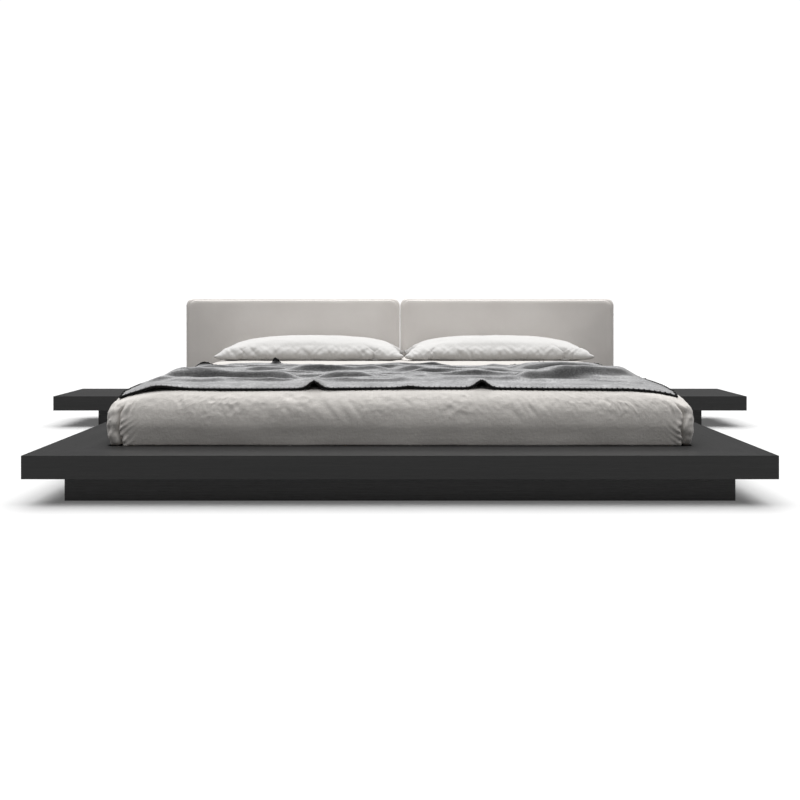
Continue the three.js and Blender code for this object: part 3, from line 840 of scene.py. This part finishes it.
def throw_height(x, y):
    """The height of the throw above the floor, from the cover beneath it and its folds."""
    inside = ease(0.940 - np.abs(x), 0.0, 0.13)
    past_hem = y - THROW_FRONT
    place = np.stack((x, y, np.zeros_like(x)), axis=-1)
    rise = 0.008 * (noise_at(place, (2.2, 8, 1), 5.0, 2) + 0.5)
    rise += 0.0026 * noise_at(place, (8, 22, 1), 2.0, 2)
    rise += 0.020 * np.maximum(ridges_at(place, (1.5, 7.5, 1), 31.0, 2), 0) ** 3
    rise *= ease(past_hem, 0.02, 0.16)
    wander = 0.016 * noise_at(place, (5, 0.6, 1), 11.0, 2)
    for start, end, first, middle, last, height, width in THROW_FOLDS:
        t = np.clip((x - start) / (end - start), 0, 1)
        crest = first * (1 - t) ** 2 + 2 * (2 * middle - (first + last) / 2) * t * (1 - t) + last * t**2
        window = ease(x, start, start + 0.13) * ease(-x, -end, -end + 0.13)
        across = (y - crest - wander) / width
        steep_side = np.exp(-(np.abs(across / 0.36) ** 2.4))
        shape = np.where(across < 0, steep_side, bell(across, 0, 1.2))
        rise = rise + height * window * shape
    for centre, height, half_width in HEM_ARCHES:
        arch = np.exp(-(np.abs((x - centre) / half_width) ** 1.7))
        rise = rise + height * arch * bell(past_hem, 0, 0.085)
    rise = rise + 0.013 * bell(x, -0.83, 0.075) * bell(past_hem, 0, 0.06)
    rise = rise * (1 - 0.5 * ease(y, -0.15, 0.12)) * (0.12 + 0.88 * inside)
    return cover_height(x, y) + THROW_GAP + THROW_THICKNESS + rise


def narrowed(x, y):
    """How far across the bed a column of the throw lies, at some place along it."""
    return x * (1 - NARROWING * ease(y, -0.92, -0.50))


def throw_grid(columns, rows):
    """The throw as laid, with each column of points kept to its true length along the folds.

    It also gives the points that the cloth solver leaves alone: the front hem, and where the hem curls up.
    """
    width, length = THROW_FLAT
    insets, heights = COVER_PROFILE[WIDEST:][::-1].T
    reach = np.concatenate(([0], COVER_HALF_X - insets))
    level = np.concatenate(([heights[0]], heights))
    cloth = np.concatenate(([0], np.cumsum(np.hypot(np.diff(reach), np.diff(level)))))
    across = np.linspace(-width / 2, width / 2, columns) + THROW_OFFSET
    x = np.sign(across) * np.interp(np.abs(across), cloth, reach)
    y = np.full(columns, THROW_FRONT) + 0.004 * np.sin(5 * x + 1)
    step = length / (rows - 1)
    small = 0.004
    kernel = bell(np.arange(-6, 7), 0, 3)
    kernel /= kernel.sum()
    grid = [np.column_stack((x, y, throw_height(x, y)))]
    for _ in range(rows - 1):
        slope = (throw_height(narrowed(x, y), y + small) - grid[-1][:, 2]) / small
        y = y + step / np.sqrt(1 + slope**2)
        y = np.convolve(np.pad(y, 6, mode="edge"), kernel, mode="valid")
        drawn_in = narrowed(x, y)
        grid.append(np.column_stack((drawn_in, y, throw_height(drawn_in, y))))
    grid = np.array(grid)
    from_back = (np.arange(rows)[::-1] * step)[:, None]
    curl = sum(lift * bell(x, centre, half_width) for centre, half_width, lift in HEM_CURLS)[None, :]
    turn = curl * np.clip(1 - from_back / 0.045, 0, 1) ** 1.5
    grid[..., 2] += turn
    grid[..., 1] -= 1.2 * turn
    held = (np.arange(rows) * step < 0.035)[:, None] | (turn > 0.003)
    return grid, held


def whip_stitched(rim):
    """The points and faces of a round hem along a closed path, with thread looped over it."""
    parts = [tube(rim, HEM_RADIUS, 8, closed=True)]
    tangents = tangents_of(rim, True)
    angles = np.radians((200, 150, 100, 50, 0, -50))[:, None]
    for i in range(0, len(rim), 3):
        side = np.cross(tangents[i], (0, 0, 1))
        side /= np.linalg.norm(side)
        loop = rim[i] + LOOP_RADIUS * (np.cos(angles) * side + np.sin(angles) * np.array((0, 0, 1)))
        loop += np.linspace(-0.004, 0.004, len(angles))[:, None] * tangents[i]
        parts.append(tube(loop, THREAD_RADIUS, 5))
    return joined(parts)


def add_throw():
    grid, held = throw_grid(THROW_COLUMNS, THROW_ROWS)
    faces = grid_faces(THROW_ROWS, THROW_COLUMNS)
    throw = make_piece("throw_wool", grid.reshape(-1, 3), faces, "bedding", "throw_wool")
    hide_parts("throw_blanket")
    throw.data.materials.append(materials["throw_underside"])
    collider = cover_collider()
    settle(throw, 8, 12.0, 0.04, [collider], pinned=np.flatnonzero(held), gap=THROW_GAP)
    bpy.data.objects.remove(collider)
    points = np.array([v.co for v in throw.data.vertices]).reshape(THROW_ROWS, THROW_COLUMNS, 3)
    thick = subdivided(throw).modifiers.new("thick", "SOLIDIFY")
    thick.thickness = THROW_THICKNESS
    thick.offset = -1
    thick.material_offset = 1
    thick.material_offset_rim = 1
    apply_modifiers(throw)
    throw.data.shade_smooth()

    rim = np.vstack((points[0], points[1:, -1], points[-1, -2::-1], points[-2:0:-1, 0]))
    rim = resampled(rim + (0, 0, -THROW_THICKNESS / 2), 0.006, closed=True)
    # the hem's tube and loops are both charcoal wool: the loops are dark thread, and the tube's dark is
    # painted shade for the shade on its lower side
    hem = make_piece("throw_hem", *whip_stitched(rim), "bedding", "throw_wool", "throw_underside")


# ---- pillows

PILLOW_CUT = (1.0, 0.56)  # the size of the empty envelope
PILLOW_COLUMNS, PILLOW_ROWS = 117, 67


def pillow_envelope(columns, rows):
    """Two layers of cloth joined at their edges, slightly apart in the middle."""
    width, depth = PILLOW_CUT
    points, index = [], {}
    faces = []
    for layer in (1, -1):
        for j in range(rows):
            for i in range(columns):
                on_seam = i in (0, columns - 1) or j in (0, rows - 1)
                if on_seam and layer < 0:
                    index[layer, i, j] = index[1, i, j]
                    continue
                u, v = 2 * i / (columns - 1) - 1, 2 * j / (rows - 1) - 1
                swell = (1 - u**4) * (1 - v**4)
                index[layer, i, j] = len(points)
                points.append((u * width / 2, v * depth / 2, layer * 0.012 * swell))
        for j in range(rows - 1):
            for i in range(columns - 1):
                corners = [index[layer, i, j], index[layer, i + 1, j]]
                corners += [index[layer, i + 1, j + 1], index[layer, i, j + 1]]
                faces.append(tuple(corners if layer > 0 else corners[::-1]))
    return np.array(points), faces


def pillow_creases(points, height, seed):
    """How far the cloth of a pillow stands out in soft slanting crumples, more so low on its sides."""
    x, y, z = points.T
    low = 1 - ease(height, 0.30, 0.68)
    out = np.zeros(len(points))
    for lean in (-1, 1):
        slanted = np.column_stack((x + lean * (0.9 * z + 0.5 * y), y, z))
        out += 0.0066 * (0.06 + low) * ridges_at(slanted, (31, 8, 8), seed + lean, 2)
        out += 0.0066 * (0.02 + low) * ridges_at(slanted, (52, 14, 14), seed + 5 * lean, 1)
    out += 0.003 * ridges_at(points, (5, 8, 6), seed + 7, 2)
    out += 0.0008 * ridges_at(points, (34, 34, 34), seed + 3, 2) * (0.3 + low)
    return out


def add_pillow(node, body, seed):
    low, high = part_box(node)
    points, faces = pillow_envelope(PILLOW_COLUMNS, PILLOW_ROWS)
    flat = points / np.abs(points).max(0)
    pillow = make_piece(f"{node}_cotton", points, faces, body, "pillow_cotton")
    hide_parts(node)
    settle(pillow, 20, 0.3, 0.0, tension=12, pressure=3.2)
    points = np.array([v.co for v in pillow.data.vertices])
    points /= np.abs(points).max(0)

    # the filling rounds it out; it is pressed flat beneath, and its seam stays a little above the bed
    u, v = np.abs(flat[:, 0]), np.abs(flat[:, 1])
    filled = ((1 - u**2.6) * (1 - v**2.4)) ** 0.62
    swell = 0.72 * filled + 0.28 * np.abs(points[:, 2])
    seam = 0.06 + 0.15 * (u * v) ** 5
    height = np.where(flat[:, 2] > 0, seam + (1 - seam) * swell / swell.max(), seam * (1 - swell) ** 3)
    middle, size = (low + high) / 2, high - low
    placed = np.column_stack((
        middle.x + points[:, 0] * (size.x / 2 + 0.001),
        middle.y - 0.012 + points[:, 1] * (size.y / 2 + 0.014),
        low.z + 0.001 + height * (size.z - 0.006),
    ))
    pillow.data.vertices.foreach_set("co", placed.ravel())
    pillow.data.update()
    normals = np.array([v.normal for v in pillow.data.vertices])
    creases = pillow_creases(placed, height, seed) * ease(height, 0.02, 0.2) * (1 - 0.75 * u**5)
    placed += normals * creases[:, None]
    placed[:, 2] = np.maximum(placed[:, 2], low.z + 0.0008)
    pillow.data.vertices.foreach_set("co", placed.ravel())
    apply_modifiers(subdivided(pillow))


# ---- headboard

PAD_CORNER = 0.045
PAD_EDGE = 0.030
PAD_CROWN = 0.006
PAD_BACK_EDGE = 0.008
CORE_MARGIN = 0.045
CORE_DEPTH = 0.018
SEAM_ANGLE = 38  # degrees round the front edge from the face
STITCH_ANGLE = 24  # and where the stitches lie beside the seam
STITCH_PITCH = 0.0045
STAPLE_INSET = 0.030
STAPLE_PITCH = 0.032
PAD_PARTS = (150, 150, 60, 16, 16)
# the washer and the head are (radius, height above the strut)
BOLTS = ((-0.012, 0.108), (0.012, 0.139), (0, 0.26), (0, 0.40), (0, 0.53))  # (from the middle, height)
WASHER = np.array([(0, 1.6), (9.5, 1.6), (10.5, 1), (10.5, -0.4), (0, -0.4)]) / 1000
BOLT_HEAD = np.array([(0, 4), (3.2, 4), (3.4, 5.2), (5.8, 4.4), (7.2, 2.6), (7.4, 1.4), (0, 1.4)]) / 1000


def pad_levels():
    """(inset, depth behind the front face, corner radius), from the face's middle to the back's pocket."""
    levels = []
    rolled = PAD_CROWN + PAD_EDGE
    low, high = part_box("headboard_pad_left")
    half_height = (high.z - low.z) / 2
    deepest = high.y - low.y
    for t in np.linspace(1, 0, 40, endpoint=False):
        inset = PAD_EDGE + (half_height - 0.012 - PAD_EDGE) * t
        levels.append((inset, PAD_CROWN * (1 - ease(inset, 0, 0.2)), PAD_CORNER - PAD_EDGE + 0.02))
    for angle in np.radians(np.arange(0, 91, 4)):
        inset = PAD_EDGE * (1 - np.sin(angle))
        depth = PAD_CROWN + PAD_EDGE * (1 - np.cos(angle))
        groove = 0.0024 * bell(np.degrees(angle), SEAM_ANGLE, 5)
        radius = PAD_CORNER - inset * 0.4
        levels.append((inset + groove * np.sin(angle), depth + groove * np.cos(angle), radius))
    for t in np.linspace(0, 1, 8)[1:]:
        levels.append((0.0, rolled + (deepest - rolled - PAD_BACK_EDGE) * t, PAD_CORNER))
    for angle in np.radians(np.arange(15, 91, 15)):
        inset = PAD_BACK_EDGE * (1 - np.cos(angle))
        levels.append((inset, deepest - PAD_BACK_EDGE * (1 - np.sin(angle)), PAD_CORNER - inset))
    for t in np.linspace(0, 1, 9)[1:]:
        inset = PAD_BACK_EDGE + (CORE_MARGIN - 0.0005 - PAD_BACK_EDGE) * t
        levels.append((inset, deepest - 0.0012 * np.sin(np.pi * t), 0.02))
    levels.append((CORE_MARGIN, deepest - 0.002, 0.012))
    levels.append((CORE_MARGIN, deepest - CORE_DEPTH, 0.012))
    return levels


def add_headboard_pad(node):
    low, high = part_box(node)
    half_x, half_z = (high.x - low.x) / 2, (high.z - low.z) / 2
    centre = (low + high) / 2
    rows = []
    for inset, depth, radius in pad_levels():
        ring = rounded_ring(half_x - inset, half_z - inset, radius, PAD_PARTS)
        rows.append(standing(ring, centre, low.y + depth))
    grid = np.array(rows)
    sideways = ease(np.abs(grid[..., 0] - centre.x), half_x - PAD_CORNER, half_x - 0.4 * PAD_EDGE)
    behind = grid[..., 1] - low.y
    rolled, deepest = PAD_CROWN + PAD_EDGE, high.y - low.y
    squashed = np.interp(behind, (0, rolled, deepest), (0, 0.4 * rolled, deepest))
    grid[..., 1] = low.y + behind + (squashed - behind) * sideways
    front = ease(grid[..., 1], low.y + 0.04, low.y)
    sag = noise_at(grid, (3.5, 1, 3.5), 40.0 + centre.x, 2)
    grid[..., 1] += front * (0.0016 * sag + 0.0004 * noise_at(grid, (16, 4, 16), 7.0, 3))
    pull = bell(grid[..., 1], low.y + 0.03, 0.02)
    grid[..., 1] += 0.0006 * pull * np.sin(grid[..., 0] * 190) * bell(grid[..., 2], high.z, 0.05)
    faces = [face[::-1] for face in closed_faces(grid, first=True)]
    points = grid.reshape(-1, 3)
    pad = make_piece(f"{node}_leather", points, faces, "platform", "headboard_leather")
    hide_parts(node)

    def around(inset, radius, y, step):
        ring = rounded_ring(half_x - inset, half_z - inset, radius, PAD_PARTS)
        return resampled(standing(ring, centre, y), step, closed=True)

    # a row of stitches just inside the seam, and staples where the leather is folded round the board
    angle = math.radians(STITCH_ANGLE)
    inset = PAD_EDGE * (1 - math.sin(angle))
    depth = PAD_CROWN + PAD_EDGE * (1 - math.cos(angle)) - 0.0004
    path = around(inset, PAD_CORNER - inset * 0.4, low.y + depth, STITCH_PITCH)
    stitches = [tube(path[i : i + 2], 0.0006, 5) for i in range(0, len(path) - 1, 2)]
    make_piece(f"{node}_stitches", *joined(stitches), "platform", "headboard_leather", "thread")
    path = around(STAPLE_INSET, 0.02, high.y + 0.0002, STAPLE_PITCH)
    staples = []
    for i, point in enumerate(path):
        along = np.roll(path, -1, 0)[i] - point
        along *= 0.005 / np.linalg.norm(along)
        staples.append(tube(np.array((point - along, point + along)), 0.0006, 6))
    make_piece(f"{node}_staples", *joined(staples), "platform", "zinc")


def add_headboard_bolts():
    """Button-head bolts with washers, through the struts into the head rail and the boards."""
    parts = []
    for side in ("left", "right"):
        for place in ("inner", "outer"):
            low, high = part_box(f"headboard_strut_{side}_{place}")
            for offset, height in BOLTS:
                centre = ((low.x + high.x) / 2 + offset, high.y, height)
                parts += [turned(WASHER, centre), turned(BOLT_HEAD, centre)]
    make_piece("headboard_bolts", *joined(parts), "platform", "zinc")


# ---- mattress

MATTRESS_INSET = 0.016  # how far it stays inside its CAD solid, to clear the cover
MATTRESS_PARTS = (150, 150, 150, 16, 16)
MATTRESS_CORNER = 0.10
MATTRESS_EDGE = 0.022
SHOULDER = 0.08  # the radius of its upper edge
QUILTING = 0.09  # the size of the diamonds stitched into its side


def mattress_profile(tall):
    """(inset, height) from under the mattress, up its side and over its shoulder, to its top."""
    profile = [(0.30, 0.0), (0.12, 0.0)]
    for angle in np.radians((0, 20, 40, 60, 75, 90)):
        profile.append((MATTRESS_EDGE * (1 - math.sin(angle)), MATTRESS_EDGE * (1 - math.cos(angle))))
    foot_of_shoulder = tall - SHOULDER - 0.005
    profile += [(0.0, height) for height in np.linspace(MATTRESS_EDGE + 0.01, foot_of_shoulder, 14)]
    for angle in np.radians((25, 50, 70, 90)):
        profile.append((SHOULDER * (1 - math.cos(angle)), foot_of_shoulder + SHOULDER * math.sin(angle)))
    return profile + [(0.30, tall - 0.005)]


def add_mattress():
    low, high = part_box("mattress")
    half_x, half_y = (high.x - low.x) / 2 - MATTRESS_INSET, (high.y - low.y) / 2 - MATTRESS_INSET
    middle_y = (low.y + high.y) / 2
    tall = high.z - low.z
    rows = []
    for inset, height in mattress_profile(tall):
        ring = rounded_ring(half_x - inset, half_y - inset, MATTRESS_CORNER, MATTRESS_PARTS)
        rows.append(lying(ring, middle_y, low.z + height))
    grid = np.array(rows)
    run = np.cumsum(np.linalg.norm(np.diff(grid[8], axis=0, append=grid[8][:1]), axis=1))[None, :]
    up = grid[..., 2]
    border = ease(up - low.z, 0.02, 0.05) * ease(tall - 0.06 - (up - low.z), 0.0, 0.04)
    diamonds = np.abs(np.sin(np.pi * (run + up) / QUILTING) * np.sin(np.pi * (run - up) / QUILTING))
    grid = grid + grid_normals(grid) * (0.004 * border * np.sqrt(diamonds))[..., None]
    faces = closed_faces(grid, first=True)
    points = grid.reshape(-1, 3)
    mattress = make_piece("mattress_body", points, faces, "bedding", "mattress_ticking")
    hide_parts("mattress")
    ring = rounded_ring(half_x - 0.002, half_y - 0.002, MATTRESS_CORNER, MATTRESS_PARTS)
    points, faces = tube(lying(ring, middle_y, low.z + 0.026), 0.0045, 10, closed=True)
    make_piece("mattress_tape", points, faces, "bedding", "mattress_ticking", "tape")


# ---- finish

ALONG_Y = ("left_", "right_", "wing_side", "wing_plinth_side")
SOFT = ("bed_cover", "throw", "pillow", "mattress", "headboard_pad")


def dress_cad_nodes():
    """Gives each CAD node its slot's material, with the grain along the board and painted light on the
    shaded plinths, and eases hard edges.
    """
    slots = {row["node"]: row["material_slot"] for row in frame["record"]["subparts"]}
    for name, node in frame["nodes"].items():
        key = slots[name]
        if key == "dark_oak" and name.startswith(ALONG_Y):
            key = "dark_oak_y"
        # plinths stand in shade under the slab, so they get the copy with painted light
        if key == "dark_oak" and "plinth" in name:
            key = "dark_oak_plinth_painted_light"
        if name == "centre_beam":
            key = "pine_y"
        node.data.materials.clear()
        node.data.materials.append(materials[key])
        if name.startswith(SOFT):
            continue
        bevel = node.modifiers.new("eased_edges", "BEVEL")
        bevel.width = 0.8 * MM
        bevel.segments = 2
        bevel.limit_method = "ANGLE"
        bevel.harden_normals = True


make_camera()
make_lights()
make_floor()
materials = make_materials()
dress_cad_nodes()
add_bed_cover()
add_throw()
add_pillow("pillow_left", "left_pillow", 3.0)
add_pillow("pillow_right", "right_pillow", 17.0)
add_headboard_pad("headboard_pad_left")
add_headboard_pad("headboard_pad_right")
add_headboard_bolts()
add_mattress()
